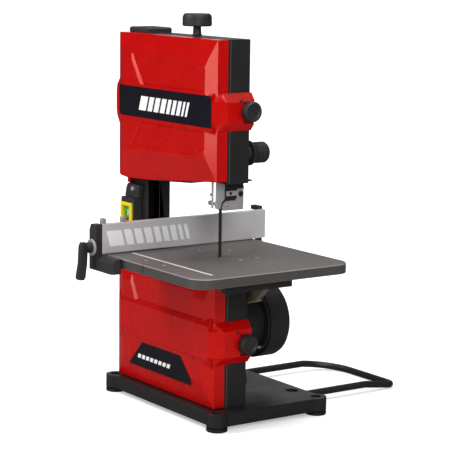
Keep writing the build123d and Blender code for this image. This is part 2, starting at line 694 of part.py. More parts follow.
# ---- table ----
@node("table")
def table():
    body = extrude(RectangleRounded(TABLE, TABLE, 31), SKIRT_H)
    body = chamfer(body.faces().sort_by(Axis.Z)[-1].edges(), 1.4)
    body -= extrude(RectangleRounded(TABLE - 2 * SKIRT_T, TABLE - 2 * SKIRT_T, 28),
                    SKIRT_H - PLATE_T)
    body = Pos(TABLE_X, TABLE_Y, TABLE_Z - SKIRT_H) * body
    body -= rod_z(27, BLADE_X, TABLE_Y, 250, 290)
    body -= rod_z(30.2, BLADE_X, TABLE_Y, TABLE_Z - 2.6, 290)
    body -= box(BLADE_X - 1, BLADE_X + 1.6, TABLE_Y - 160, TABLE_Y - 20, 250, 290)
    body -= box(2.9, 236.1, -170.1, -165.0, TABLE_Z - 0.6, 290)
    for x, y in TABLE_HOLES:
        body -= rod_z(4.05, x, y, TABLE_Z - 2.2, 290)
    return body


TABLE_HOLES = [(74, -186), (128, -186), (147, -51), (66, -17), (144, -17), (38, -58)]


@node("table_insert")
def table_insert():
    body = rod_z(30, BLADE_X, TABLE_Y, TABLE_Z - 2.5, TABLE_Z - 0.2)
    return body - box(BLADE_X - 1.4, BLADE_X + 4.2, TABLE_Y - 40, TABLE_Y + 11, 260, 290)


def arc_slot(radius, width, start, end, y0, y1):
    """Curved slot about the tilt axis, angles in degrees from +X."""
    ring = rod_y(radius + width / 2, 0, 0, y0, y1) - rod_y(radius - width / 2, 0, 0, y0, y1)
    reach = 3 * radius
    steps = [start + (end - start) * k / 4 for k in range(5)]
    fan = [(0, 0)] + [(reach * math.cos(math.radians(a)), reach * math.sin(math.radians(a)))
                      for a in steps]
    slot = ring & slab_xz(fan, y0, y1)
    for a in (start, end):
        x, z = radius * math.cos(math.radians(a)), radius * math.sin(math.radians(a))
        slot += rod_y(width / 2, x, z, y0, y1)
    return slot


@node("trunnion")
def trunnion():
    top = -PLATE_T - 0.05
    disc = rod_y(80, 0, 0, -20.5, -14.5) + (rod_y(80, 0, 0, -20.5, -9) - rod_y(76.5, 0, 0, -21, -8))
    disc -= box(-90, 90, -30, 0, top, 90)
    disc += box(-62, 62, -20.5, -6, top - 4, top)
    disc -= arc_slot(60, 8.6, -93, -42, -30, 0)
    return Pos(TILT_X, 0, TILT_Z) * disc


@node("trunnion_bracket")
def trunnion_bracket():
    body = box(84, 126, FRAME_Y1, -21, 176, 228)
    body -= box(87, 123, FRAME_Y1 + 3, -24, 170, 240)
    return body - rod_y(4.05, TILT_X, TILT_Z - 60, -40, -10)


@node("tilt_lock_knob")
def tilt_lock_knob():
    body = turned([(4.05, 0), (9, 0), (9, 5), (15, 8), (15, 20), (13, 22), (0, 22), (0, 15),
                   (4.05, 15)])
    for i in range(5):
        body -= Rot(0, 0, 72 * i) * Pos(19, 0, 15) * Cylinder(7.5, 20)
    return along_y(body, TILT_X, -13.6, TILT_Z - 60)


@node("table_rail")
def table_rail():
    return box(236, 246, -150, -20.9, 245, TABLE_Z - PLATE_T)


# ---- fence ----
FENCE_X0, FENCE_X1, FENCE_Y0, FENCE_Y1 = -13.0, -4.0, -221.0, 107.0
FENCE_Z0, FENCE_Z1 = 276.9, 326.2
LEVER_X, LEVER_Z = -15.0, 288.0


@node("fence_rail")
def fence_rail():
    body = box(FENCE_X0, FENCE_X1, FENCE_Y0, FENCE_Y1, FENCE_Z0, FENCE_Z1)
    body = chamfer(body.edges().filter_by(Axis.Y), 0.8)
    for z0, z1 in ((FENCE_Z0 + 2, 300.5), (302.5, FENCE_Z1 - 2)):
        body -= box(FENCE_X0 + 2, FENCE_X1 - 2, FENCE_Y0 - 1, FENCE_Y1 + 1, z0, z1)
    return body


@node("fence_clamp")
def fence_clamp():
    tall = [(-25, 251), (-4, 251), (-4, 326), (-20, 326), (-25, 317)]
    body = slab_xz(tall, -233, -221)
    foot = [(-233, 251), (-212.6, 251), (-212.6, 275.2), (-224, 275.2), (-233, 268)]
    body += slab_yz(foot, -25, 46)
    body = chamfer(body.edges().filter_by(Axis.Z).sort_by(Axis.X)[-2:], 4)
    return body - rod_y(4.05, LEVER_X, LEVER_Z, -240, -220)


@node("fence_lever")
def fence_lever():
    arm = [(-246, 297), (-254, 297), (-256.5, 290), (-258, 262), (-262, 240), (-260, 236),
           (-252, 235.6), (-249, 240), (-246, 262), (-245, 280)]
    body = slab_yz(arm, LEVER_X - 5.5, LEVER_X + 5.5)
    body += rod_y(8.5, LEVER_X, LEVER_Z, -248, -235)
    body += rod_y(12.5, LEVER_X, LEVER_Z, -235.6, -233.2)
    return body + rod_y(4.0, LEVER_X, LEVER_Z, -240, -222.5)


@node("fence_rear_hook")
def fence_rear_hook():
    """Catch on the far side of the fence that hooks under the table's back edge."""
    hook = [(82, 250), (FENCE_Y1, 250), (FENCE_Y1, 331), (98, 331), (98, 257), (82, 257)]
    body = slab_yz(hook, FENCE_X0 - 9, FENCE_X0)
    return body + box(-36, FENCE_X0 - 8, 98, FENCE_Y1 + 2, 323.5, 331)


# ---- switch ----
SWITCH_X0, SWITCH_X1, SWITCH_Y = -153.0, -118.0, -97.0
BRACKET_SCREW = (-126.4, 361.2)
BUTTONS = {"start": (308.5, 330.0), "stop": (284.5, 306.0)}


@node("switch_box")
def switch_box():
    """Black hood: the yellow frame is let into its front and the buttons sit in two wells."""
    body = box(SWITCH_X0 - 2, SWITCH_X1 + 4, SWITCH_Y + 4, FRAME_Y0, 273, 346)
    body = fillet(body.edges().filter_by(Axis.Y).sort_by(Axis.Z)[-2:], 5)
    body -= box(SWITCH_X0, SWITCH_X1, SWITCH_Y, SWITCH_Y + 8, 278, 337)
    for z0, z1 in BUTTONS.values():
        body -= box(-145.3, -123.7, -92, -82, z0 - 0.3, z1 + 0.3)
    return body


@node("switch_frame")
def switch_frame():
    body = box(SWITCH_X0, SWITCH_X1, SWITCH_Y, SWITCH_Y + 8, 278, 337)
    body = chamfer(body.faces().sort_by(Axis.Y)[0].edges(), 1.5)
    return body - box(-146.5, -123, SWITCH_Y - 1, SWITCH_Y + 9, 283.5, 331.3)


def push_button(z0, z1):
    body = box(-145, -124, -91.7, -84, z0, z1)
    return chamfer(body.faces().sort_by(Axis.Y)[0].edges(), 1.0)


@node("start_button")
def start_button():
    return push_button(*BUTTONS["start"])


@node("stop_button")
def stop_button():
    return push_button(*BUTTONS["stop"])


@node("switch_bracket")
def switch_bracket():
    outline = [(-154, 346.1), (-112, 346.1), (-107, 367), (-110, 369), (-145, 369), (-149.5, 363)]
    body = slab_xz(outline, -86, FRAME_Y0)
    return body - rod_y(3.65, *BRACKET_SCREW, -90, -84)


def main():
    os.makedirs("parts", exist_ok=True)
    for name, maker in NODES.items():
        shape = maker()
        shape.label = name
        export_step(shape, f"parts/{name}.step")


main()
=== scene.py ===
import math

import bmesh
import bpy
from mathutils import Matrix, Vector


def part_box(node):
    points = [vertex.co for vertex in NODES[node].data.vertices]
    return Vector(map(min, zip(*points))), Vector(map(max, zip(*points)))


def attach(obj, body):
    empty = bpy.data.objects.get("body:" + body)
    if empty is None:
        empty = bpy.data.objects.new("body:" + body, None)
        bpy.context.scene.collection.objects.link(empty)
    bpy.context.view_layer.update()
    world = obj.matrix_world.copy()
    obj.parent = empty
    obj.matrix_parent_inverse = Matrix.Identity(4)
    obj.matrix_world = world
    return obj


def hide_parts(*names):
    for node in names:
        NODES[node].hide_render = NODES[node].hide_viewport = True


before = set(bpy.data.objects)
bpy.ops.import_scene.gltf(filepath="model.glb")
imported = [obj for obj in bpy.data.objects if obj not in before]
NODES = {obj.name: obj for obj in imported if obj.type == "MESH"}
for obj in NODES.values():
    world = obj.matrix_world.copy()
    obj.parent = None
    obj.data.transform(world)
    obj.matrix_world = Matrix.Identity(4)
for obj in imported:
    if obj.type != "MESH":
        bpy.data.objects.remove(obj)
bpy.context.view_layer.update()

MM = 0.001                      # metres in a millimetre

# Bands of the size of a normal's Z, over which one colour fades into the next: the level top into
# the painted highlight of slanted faces, and that into the upright sides, darker partly by painted
# shade
LEVEL_BAND = (0.88, 0.97)       # slanted below it, level above it
UPRIGHT_BAND = (0.08, 0.25)     # upright below it, slanted above it

CLOUD_SCALE = 22.0              # broad patches in every finish
GRAIN_DEPTH = 0.0006            # height of the fine grain, in metres
COAT_ROUGHNESS = 0.12
RUB_AND_HIGHLIGHT_STRENGTH = 0.5             # how far the lighter edges show through, partly rubbed finish and partly painted highlight
RUB_AND_HIGHLIGHT_BAND = (0.52, 0.62)        # pointiness at which the lighter edge starts and is full


# ---------------------------------------------------------------- materials
def new_material(name):
    """Empty node material: the material, its nodes, its links and its shader."""
    mat = bpy.data.materials.new(name)
    mat.use_nodes = True
    tree = mat.node_tree
    return mat, tree.nodes, tree.links, tree.nodes["Principled BSDF"]


def object_coords(nodes, links, stretch=(1, 1, 1)):
    """Object coordinates, so that the pattern stays on the piece when it moves."""
    coords = nodes.new("ShaderNodeTexCoord")
    mapping = nodes.new("ShaderNodeMapping")
    mapping.inputs["Scale"].default_value = stretch
    links.new(coords.outputs["Object"], mapping.inputs["Vector"])
    return mapping.outputs["Vector"]


def noise(nodes, links, vector, scale, detail=3.0, rough=0.55):
    """Factor of a noise texture."""
    tex = nodes.new("ShaderNodeTexNoise")
    tex.inputs["Scale"].default_value = scale
    tex.inputs["Detail"].default_value = detail
    tex.inputs["Roughness"].default_value = rough
    links.new(vector, tex.inputs["Vector"])
    return tex.outputs["Fac"]


def remap(nodes, links, value, low, high, start=0.3, stop=0.7):
    """Value moved from the range start to stop into the range low to high."""
    node = nodes.new("ShaderNodeMapRange")
    node.inputs["From Min"].default_value = start
    node.inputs["From Max"].default_value = stop
    node.inputs["To Min"].default_value = low
    node.inputs["To Max"].default_value = high
    links.new(value, node.inputs["Value"])
    return node.outputs["Result"]


def mix_colour(nodes, links, factor, first, second):
    """Colour mix of two values; each may be an RGB tuple or a socket."""
    mix = nodes.new("ShaderNodeMix")
    mix.data_type = "RGBA"
    links.new(factor, mix.inputs["Factor"])
    for socket, value in ((mix.inputs[6], first), (mix.inputs[7], second)):
        if hasattr(value, "links"):
            links.new(value, socket)
        else:
            socket.default_value = (*value, 1)
    return mix.outputs[2]


def edge_rub_and_highlight(nodes, links):
    """Factor that rises on convex edges, partly where finish rubs thin and partly as a painted
    highlight.
    """
    geometry = nodes.new("ShaderNodeNewGeometry")
    return remap(nodes, links, geometry.outputs["Pointiness"], 0.0, RUB_AND_HIGHLIGHT_STRENGTH, *RUB_AND_HIGHLIGHT_BAND)


def painted_light_by_slope(nodes, links, level, slanted, upright):
    """Colour that differs on level, slanted and upright faces of the object; the slanted colour is a
    painted highlight on bevels and the upright colour is partly painted shade.
    """
    coords = nodes.new("ShaderNodeTexCoord")
    split = nodes.new("ShaderNodeSeparateXYZ")
    links.new(coords.outputs["Normal"], split.inputs[0])
    rise = nodes.new("ShaderNodeMath")
    rise.operation = "ABSOLUTE"
    links.new(split.outputs["Z"], rise.inputs[0])
    highlight_mask = remap(nodes, links, rise.outputs[0], 1, 0, *LEVEL_BAND)
    side_shade_mask = remap(nodes, links, rise.outputs[0], 1, 0, *UPRIGHT_BAND)
    tone = mix_colour(nodes, links, highlight_mask, level, slanted)
    return mix_colour(nodes, links, side_shade_mask, tone, upright)


def finish(name, colour, rough, metal=0.0, grain=900.0, bump=0.05, spread=0.08, coat=0.0,
           stretch=(1, 1, 1), rubbed_edge_and_highlight=None, shade=0.8, specular=0.5, slope_highlight_and_shade=None, sheen=(1, 1, 1)):
    """Procedural finish: fine grain in the bump, cloudy roughness and colour.

    the wear colour goes on convex edges, partly rubbed finish and partly a painted highlight;
    the slope colours are a painted highlight on slanted faces and, on upright faces, partly painted
    shade;
    shade is how much darker the cloudy patches are; sheen tints the highlights."""
    mat, nodes, links, bsdf = new_material(name)
    fine = noise(nodes, links, object_coords(nodes, links, stretch), grain)
    cloud = noise(nodes, links, object_coords(nodes, links), CLOUD_SCALE, 4.0)
    dark = tuple(c * shade for c in colour)
    tone = mix_colour(nodes, links, remap(nodes, links, cloud, 0, 1), dark, colour)
    if rubbed_edge_and_highlight:
        tone = mix_colour(nodes, links, edge_rub_and_highlight(nodes, links), tone, rubbed_edge_and_highlight)
    if slope_highlight_and_shade:
        tone = painted_light_by_slope(nodes, links, tone, *slope_highlight_and_shade)
    links.new(tone, bsdf.inputs["Base Color"])
    blend = nodes.new("ShaderNodeMath")
    blend.operation = "ADD"
    links.new(remap(nodes, links, fine, rough - spread, rough + spread), blend.inputs[0])
    links.new(remap(nodes, links, cloud, -spread / 2, spread / 2), blend.inputs[1])
    links.new(blend.outputs[0], bsdf.inputs["Roughness"])
    bumps = nodes.new("ShaderNodeBump")
    bumps.inputs["Strength"].default_value = bump
    bumps.inputs["Distance"].default_value = GRAIN_DEPTH
    links.new(fine, bumps.inputs["Height"])
    links.new(bumps.outputs["Normal"], bsdf.inputs["Normal"])
    bsdf.inputs["Metallic"].default_value = metal
    bsdf.inputs["Coat Weight"].default_value = coat
    bsdf.inputs["Coat Roughness"].default_value = COAT_ROUGHNESS
    bsdf.inputs["Specular IOR Level"].default_value = specular
    bsdf.inputs["Specular Tint"].default_value = (*sheen, 1)
    return mat


def perforated(name, base, spot, pitch, angle, radius):
    """Dark film printed with a fine grid of dots; their radius is a fraction of the pitch."""
    mat, nodes, links, bsdf = new_material(name)
    coords = nodes.new("ShaderNodeTexCoord")
    mapping = nodes.new("ShaderNodeMapping")
    mapping.inputs["Rotation"].default_value = (0, angle, 0)
    mapping.inputs["Scale"].default_value = (1 / pitch, 0.0, 1 / pitch)
    links.new(coords.outputs["Object"], mapping.inputs["Vector"])
    cells = nodes.new("ShaderNodeTexVoronoi")
    cells.inputs["Scale"].default_value = 1.0
    cells.inputs["Randomness"].default_value = 0.0
    links.new(mapping.outputs["Vector"], cells.inputs["Vector"])
    dots = remap(nodes, links, cells.outputs["Distance"], 1, 0, radius - 0.06, radius + 0.06)
    cloud = noise(nodes, links, object_coords(nodes, links), 18.0)
    dark = tuple(c * 0.6 for c in base)
    ground = mix_colour(nodes, links, remap(nodes, links, cloud, 0, 1), dark, base)
    links.new(mix_colour(nodes, links, dots, ground, spot), bsdf.inputs["Base Color"])
    links.new(remap(nodes, links, cloud, 0.3, 0.42), bsdf.inputs["Roughness"])
    bsdf.inputs["Specular IOR Level"].default_value = 0.15
    return mat


BLACK_PAINT = finish("black_powder_coat", (0.017, 0.015, 0.016), 0.42, bump=0.22, grain=1400.0)
RED_PAINT = finish("red_gloss_paint", (0.47, 0.0002, 0.0006), 0.28, bump=0.04, grain=700.0,
                   coat=0.12, shade=0.9, spread=0.04, specular=0.7, sheen=(1, 0.35, 0.25))
# The table's slanted bevels get a painted highlight; its upright sides are darker, partly the rough
# cast sides and partly painted shade.
CAST_TABLE = finish("ground_cast_table", (0.15, 0.137, 0.13), 0.5, metal=0.25, grain=800.0,
                    stretch=(0.25, 1, 1), bump=0.16,
                    slope_highlight_and_shade=((0.26, 0.24, 0.23), (0.072, 0.066, 0.062)))
CAST_GREY = finish("rough_cast_alloy", (0.20, 0.18, 0.15), 0.5, metal=0.4, grain=500.0, bump=0.4)
ALUMINIUM = finish("anodised_extrusion", (0.72, 0.70, 0.72), 0.4, metal=0.4, grain=700.0,
                   stretch=(1, 0.05, 1), bump=0.08, shade=0.93)
TURNED = finish("turned_aluminium", (0.50, 0.48, 0.47), 0.32, metal=0.4, grain=600.0, bump=0.15)
STEEL = finish("zinc_plated_steel", (0.52, 0.51, 0.51), 0.32, metal=0.45, grain=900.0, bump=0.1)
BLADE_STEEL = finish("spring_steel_blade", (0.10, 0.075, 0.06), 0.4, metal=0.8, grain=900.0,
                     stretch=(1, 1, 0.08), bump=0.1)
YELLOW_STEEL = finish("yellow_passivated_steel", (0.62, 0.48, 0.22), 0.32, metal=0.5, bump=0.12)
# Black plastic's lighter convex edges are partly rubbed finish and partly a painted edge highlight.
BLACK_PLASTIC = finish("moulded_black_plastic", (0.02, 0.019, 0.02), 0.5, bump=0.3, grain=1600.0,
                       rubbed_edge_and_highlight=(0.05, 0.05, 0.05))
INSERT_PLASTIC = finish("insert_plastic", (0.135, 0.125, 0.12), 0.5, bump=0.2, grain=1500.0)
YELLOW_PLASTIC = finish("yellow_plastic", (0.85, 0.62, 0.005), 0.35, bump=0.06, coat=0.2, shade=0.9)
GREEN_PLASTIC = finish("green_button", (0.02, 0.32, 0.06), 0.35, bump=0.06, coat=0.3)
RED_PLASTIC = finish("red_button", (0.7, 0.01, 0.01), 0.35, bump=0.06, coat=0.3)
RUBBER = finish("black_rubber", (0.014, 0.014, 0.014), 0.7, bump=0.35, grain=1200.0, specular=0.3)
MOTOR_BLACK = finish("motor_black_paint", (0.02, 0.019, 0.02), 0.38, bump=0.15, grain=1100.0)
PALE_PRINT = finish("pale_print", (0.82, 0.82, 0.82), 0.45, bump=0.03, shade=0.94)
# Greyish brown painted highlight for thin lines along the frame's edges, in place of light caught by
# the edges.
EDGE_HIGHLIGHT = finish("painted_edge_highlight", (0.11, 0.09, 0.08), 0.4, metal=0.3, bump=0.1)
WHITE_LINE = finish("bright_scale_line", (0.7, 0.7, 0.7), 0.4, bump=0.03, shade=0.92)
LABEL_DARK = perforated("upper_label_film", (0.006, 0.005, 0.009), (0.016, 0.015, 0.022),
                        4.6 * MM, math.radians(30), 0.32)
LABEL_PERF = perforated("lower_label_film", (0.007, 0.006, 0.009), (0.025, 0.02, 0.03),
                        3.4 * MM, math.radians(45), 0.28)

NODE_FINISH = {
    BLACK_PAINT: "base_plate support_bar column upper_housing lower_housing guide_bracket"
                 " trunnion_bracket table_rail",
    RED_PAINT: "upper_door lower_door",
    CAST_TABLE: "table",
    CAST_GREY: "trunnion",
    ALUMINIUM: "fence_rail",
    TURNED: "upper_wheel lower_wheel guide_block lower_blade_guide",
    STEEL: "frame_screws door_hinges stator_core motor_bearings upper_wheel_bearings axle_bracket"
           " axle_nut tension_carriage tension_spring rotor guide_post guide_screws thrust_roller"
           " guide_pinion blade_guard",
    YELLOW_STEEL: "motor_tie_rods",
    BLACK_PLASTIC: "column_cap guide_housing dust_port switch_box switch_bracket upper_latch_knob"
                   " lower_latch_knob tension_knob tracking_knob cooling_fan guide_knob"
                   " tilt_lock_knob fence_clamp fence_rear_hook fence_lever",
    YELLOW_PLASTIC: "switch_frame",
    GREEN_PLASTIC: "start_button",
    RED_PLASTIC: "stop_button",
    INSERT_PLASTIC: "table_insert",
    RUBBER: "rubber_feet upper_tyre lower_tyre motor_cable",
    MOTOR_BLACK: "motor_housing fan_cover motor_end_shields",
}
USUAL_BEVEL = 0.35              # edge softening in millimetres
BEVELS = {"tension_spring": 0.0, "guide_pinion": 0.0, "guide_post": 0.15, "switch_frame": 0.5,
          "upper_door": 0.5, "lower_door": 0.5, "base_plate": 0.7, "table": 0.8,
          "fence_lever": 1.2, "fence_clamp": 0.9}
FACETED = {"upper_door", "lower_door", "column", "upper_housing", "lower_housing"}
SAME_PLANE = math.radians(0.4)  # faces closer than this are merged before bevelling
SHARP_EDGE = math.radians(32)   # edges sharper than this are bevelled


def dress_nodes():
    """Gives each CAD node its finish and softens its edges with modifiers."""
    for mat, names in NODE_FINISH.items():
        for name in names.split():
            obj = NODES[name]
            obj.data.materials.clear()
            obj.data.materials.append(mat)
            soften(obj, BEVELS.get(name, USUAL_BEVEL), name not in FACETED)


def soften(obj, width, smooth=True):
    """Bevels the sharp edges with modifiers; the mesh itself keeps its shape."""
    mesh = obj.data
    if "custom_normal" in mesh.attributes:
        mesh.attributes.remove(mesh.attributes["custom_normal"])
    mesh.polygons.foreach_set("use_smooth", [smooth] * len(mesh.polygons))
    weld = obj.modifiers.new("weld", "WELD")
    weld.merge_threshold = 1e-6
    if width > 0:
        flat = obj.modifiers.new("flat_faces", "DECIMATE")
        flat.decimate_type = "DISSOLVE"
        flat.angle_limit = SAME_PLANE
        bevel = obj.modifiers.new("edges", "BEVEL")
        bevel.width = width * MM
        bevel.segments = 2
        bevel.limit_method = "ANGLE"
        bevel.angle_limit = SHARP_EDGE
        bevel.miter_outer = "MITER_ARC"
    normals = obj.modifiers.new("normals", "WEIGHTED_NORMAL")
    normals.keep_sharp = True


# ---------------------------------------------------------------- pieces
def piece(name, verts, faces, mat, body, slot, bevel=0.0):
    """Mesh object in millimetres that rides on a body."""
    mesh = bpy.data.meshes.new(name)
    mesh.from_pydata([[c * MM for c in v] for v in verts], [], faces)
    mesh.validate()
    bm = bmesh.new()
    bm.from_mesh(mesh)
    bmesh.ops.recalc_face_normals(bm, faces=bm.faces)
    bm.to_mesh(mesh)
    bm.free()
    obj = bpy.data.objects.new(name, mesh)
    bpy.context.scene.collection.objects.link(obj)
    mesh.materials.append(mat)
    if bevel:
        soften(obj, bevel)
    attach(obj, body)
    return obj


def prism(outlines, low, high, axis):
    """Verts and faces of straight prisms over (u, v) outlines; axis 0, 1 or 2 is the depth."""
    verts, faces = [], []
    for outline in outlines:
        first, count = len(verts), len(outline)
        for depth in (low, high):
            for u, v in outline:
                point = [u, v]
                point.insert(axis, depth)
                verts.append(point)
        faces.append([first + i for i in range(count)])
        faces.append([first + count + i for i in reversed(range(count))])
        for i in range(count):
            j = (i + 1) % count
            faces.append([first + i, first + count + i, first + count + j, first + j])
    return verts, faces


def skin(count, sides, closed):
    """Faces that join rows of points round a shape; a shape that isn't closed gets end caps."""
    faces = []
    for k in range(count if closed else count - 1):
        a, b = k * sides, (k + 1) % count * sides
        for i in range(sides):
            j = (i + 1) % sides
            faces.append([a + i, a + j, b + j, b + i])
    if not closed:
        faces.append(list(range(sides)))
        faces.append([(count - 1) * sides + i for i in reversed(range(sides))])
    return faces


def lathe(profile, centre, axis, sides=32, ring=False):
    """Verts and faces of a turned shape; profile is (radius, depth) along axis.

    A ring joins the last profile point to the first; any other shape gets two end caps."""
    verts = []
    for radius, depth in profile:
        for i in range(sides):
            turn = 2 * math.pi * i / sides
            point = [radius * math.cos(turn), radius * math.sin(turn)]
            point.insert(axis, depth)
            verts.append([p + c for p, c in zip(point, centre)])
    return verts, skin(len(profile), sides, ring)


def rounded(corners, radii, steps=12):
    """Path through the corners, each inner corner rounded by its radius."""
    path = [corners[0]]
    for before, corner, after, radius in zip(corners, corners[1:], corners[2:], radii):
        back = (before - corner).normalized()
        ahead = (after - corner).normalized()
        half = back.angle(ahead) / 2
        middle = corner + (back + ahead).normalized() * radius / math.sin(half)
        start = corner + back * radius / math.tan(half) - middle
        stop = corner + ahead * radius / math.tan(half) - middle
        arc, hinge = start.angle(stop), start.cross(stop)
        path += [middle + Matrix.Rotation(arc * k / steps, 3, hinge) @ start
                 for k in range(steps + 1)]
    return path + [corners[-1]]


def tube(path, radius, sides=24):
    """Verts and faces of a round bar along a path that is never upright."""
    verts = []
    for i, point in enumerate(path):
        along = path[min(i + 1, len(path) - 1)] - path[max(i - 1, 0)]
        side = along.cross(Vector((0, 0, 1))).normalized()
        up = side.cross(along).normalized()
        for k in range(sides):
            turn = 2 * math.pi * k / sides
            verts.append(point + radius * (math.cos(turn) * side + math.sin(turn) * up))
    return verts, skin(len(path), sides, False)


def join(shapes):
    """Several shapes as one set of verts and faces."""
    verts, faces = [], []
    for some_verts, some_faces in shapes:
        shift = len(verts)
        verts += some_verts
        faces += [[i + shift for i in f] for f in some_faces]
    return verts, faces


def strip(u0, u1, v0, v1):
    """Outline of a rectangle from (u0, v0) to (u1, v1)."""
    return [(u0, v0), (u1, v0), (u1, v1), (u0, v1)]


def slanted_bars(x0, z0, z1, widths, gap, lean):
    """Row of leaning bars in XZ, a plain graphic without letters."""
    bars, x = [], x0
    for width in widths:
        bars.append([(x, z0), (x + width, z0), (x + width + lean, z1), (x + lean, z1)])
        x += width + gap
    return bars


def band_blade():
    """Endless toothed strip round both wheels; the teeth point to the operator.

    The strip runs down on the right, round the lower wheel, up on the left and round the top."""
    low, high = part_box("saw_blade")
    x0, x1 = low.x / MM, high.x / MM
    y0, y1 = low.y / MM, high.y / MM
    radius = (x1 - x0) / 2
    centre = (x0 + x1) / 2
    z_low, z_high = low.z / MM + radius, high.z / MM - radius
    pitch, gullet, thickness = 4.0, 1.8, 0.5
    run = z_high - z_low
    length = 2 * run + 2 * math.pi * radius
    count = round(length / pitch)
    loop = []
    for i in range(2 * count):
        s = length * i / (2 * count)
        if s < run:
            x, z, nx, nz = x1, z_high - s, 1, 0
        elif s < run + math.pi * radius:
            a = -(s - run) / radius
            nx, nz = math.cos(a), math.sin(a)
            x, z = centre + radius * nx, z_low + radius * nz
        elif s < 2 * run + math.pi * radius:
            x, z, nx, nz = x0, z_low + s - run - math.pi * radius, -1, 0
        else:
            a = math.pi - (s - 2 * run - math.pi * radius) / radius
            nx, nz = math.cos(a), math.sin(a)
            x, z = centre + radius * nx, z_high + radius * nz
        front = y0 if i % 2 == 0 else y0 + gullet
        for depth in (0.0, thickness):
            loop.append((x - nx * depth, front, z - nz * depth))
            loop.append((x - nx * depth, y1, z - nz * depth))
    faces = []
    total = len(loop)
    for i in range(0, total, 4):
        j = (i + 4) % total
        faces += [[i, i + 1, j + 1, j], [i + 2, j + 2, j + 3, i + 3]]
        faces += [[i, j, j + 2, i + 2], [i + 1, i + 3, j + 3, j + 1]]
    blade = piece("toothed_blade", loop, faces, BLADE_STEEL, "frame", "steel")
    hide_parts("saw_blade")


def support_tube():
    """Rear support bar, bent wide at one corner and tight at the other."""
    x, radius = 91, 6
    inside, knee, end = (60, 15), (260, 15), (327, radius + 0.1)
    right = [Vector((x, y, z)) for y, z in (inside, knee, end)]
    left = [Vector((-x, y, z)) for y, z in (end, knee, inside)]
    knee_bend, tight_bend, wide_bend = 40, 16, 60
    path = rounded(right + left, (knee_bend, tight_bend, wide_bend, knee_bend))
    bar = piece("support_tube", *tube(path, radius), BLACK_PAINT, "frame", "black_paint", 0.3)
    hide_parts("support_bar")


def door_graphics():
    """Plain dark films on the doors with bars in place of any wording."""
    front, face, film, print_depth = -105.6, -105.5, 0.5, 0.15
    plan = [(-153.8, -97.4), (-131, front), (138, front), (138, front - film),
            (-131.1, front - film), (-153.9, -97.9)]
    piece("upper_door_film", *prism([plan], 489.5, 540.5, 2), LABEL_DARK, "upper_door_body",
          "black_plastic")
    bars = slanted_bars(-78, 502, 526, [22, 14, 14, 14, 10, 10, 10, 6, 6], 5, 8)
    piece("upper_door_bars", *prism(bars, front - film - print_depth, front - film, 1),
          PALE_PRINT, "upper_door_body", "black_plastic")
    panel = [[(-62, 107), (52, 107), (86, 72), (86, 61), (-106, 61)]]
    lower_film = 0.4
    piece("lower_door_film", *prism(panel, face - lower_film, face, 1), LABEL_PERF,
          "lower_door_body", "black_plastic", 0.1)
    dashes = slanted_bars(-78, 76, 83, [9] * 8, 4, 3)
    piece("lower_door_bars", *prism(dashes, face - lower_film - print_depth, face - lower_film, 1),
          PALE_PRINT, "lower_door_body", "black_plastic")


def socket_screw(centre, axis, radius, height):
    """Pan head with a recess; the head stands out along +axis or -axis by the sign of height."""
    profile = [(radius, 0), (radius, height * 0.6), (radius * 0.8, height),
               (radius * 0.48, height), (radius * 0.48, height * 0.35)]
    return lathe(profile, centre, axis, 24)


def small_screws():
    """One screw in each door's latch bulge and six screws in the table."""
    for body, z in (("upper_door_body", 533.0), ("lower_door_body", 158.0)):
        piece(body + "_screw", *socket_screw((157, -62, z), 0, 2.6, 1.6), BLADE_STEEL, body,
              "steel", 0.1)
    seat, radius, height = 273.3, 3.7, 1.9
    places = [(74, -186), (128, -186), (147, -51), (66, -17), (144, -17), (38, -58)]
    screws = [socket_screw((x, y, seat), 2, radius, height) for x, y in places]
    piece("table_screws", *join(screws), STEEL, "table_group", "steel", 0.1)


def painted_edge_highlights():
    """Thin bright lines painted as highlights along the frame's edges: column edges and housing
    fronts.
    """
    column_side, housing_side = -96.0, 142.0
    column = [strip(-76.7, -76.1, 250, 378), strip(-52.4, -51.5, 250, 377.5)]
    piece("column_edge_highlights", *prism(column, column_side - 0.5, column_side + 0.1, 0), EDGE_HIGHLIGHT,
          "frame", "black_paint")
    fronts = [strip(-73.2, -71.8, 31, 229), strip(-73.2, -71.8, 400, 628)]
    piece("housing_edge_highlights", *prism(fronts, housing_side - 1, housing_side + 0.25, 0), EDGE_HIGHLIGHT,
          "frame", "black_paint")


def guide_details():
    """Bright roller plate with its screw, the arm's bolt, and a screw on the guard's left."""
    plate = [[(-58, 375.2), (-36, 375.2), (-36, 381.5), (-38, 383.5), (-58, 383.5)]]
    piece("roller_plate", *prism(plate, 112.6, 114.4, 0), TURNED, "guide", "steel", 0.3)
    screws = [socket_screw((114.4, -50, 379.3), 0, 2.6, 1.2),
              socket_screw((111, -28, 377), 0, 4.4, 2.6),
              socket_screw((97, -75.6, 377), 0, 2.2, -2.4)]
    piece("guide_arm_screws", *join(screws), BLACK_PAINT, "guide", "black_paint", 0.1)


def table_scale():
    """Bright line inlaid along the front of the table."""
    bottom, top = 274.85, 275.5
    spans = [(3.0, 92.5), (95.5, 103.8), (106.8, 236.0)]
    strips = [strip(x0, x1, -170.0, -165.1) for x0, x1 in spans]
    piece("table_scale_line", *prism(strips, bottom, top, 2), WHITE_LINE, "table_group", "steel")


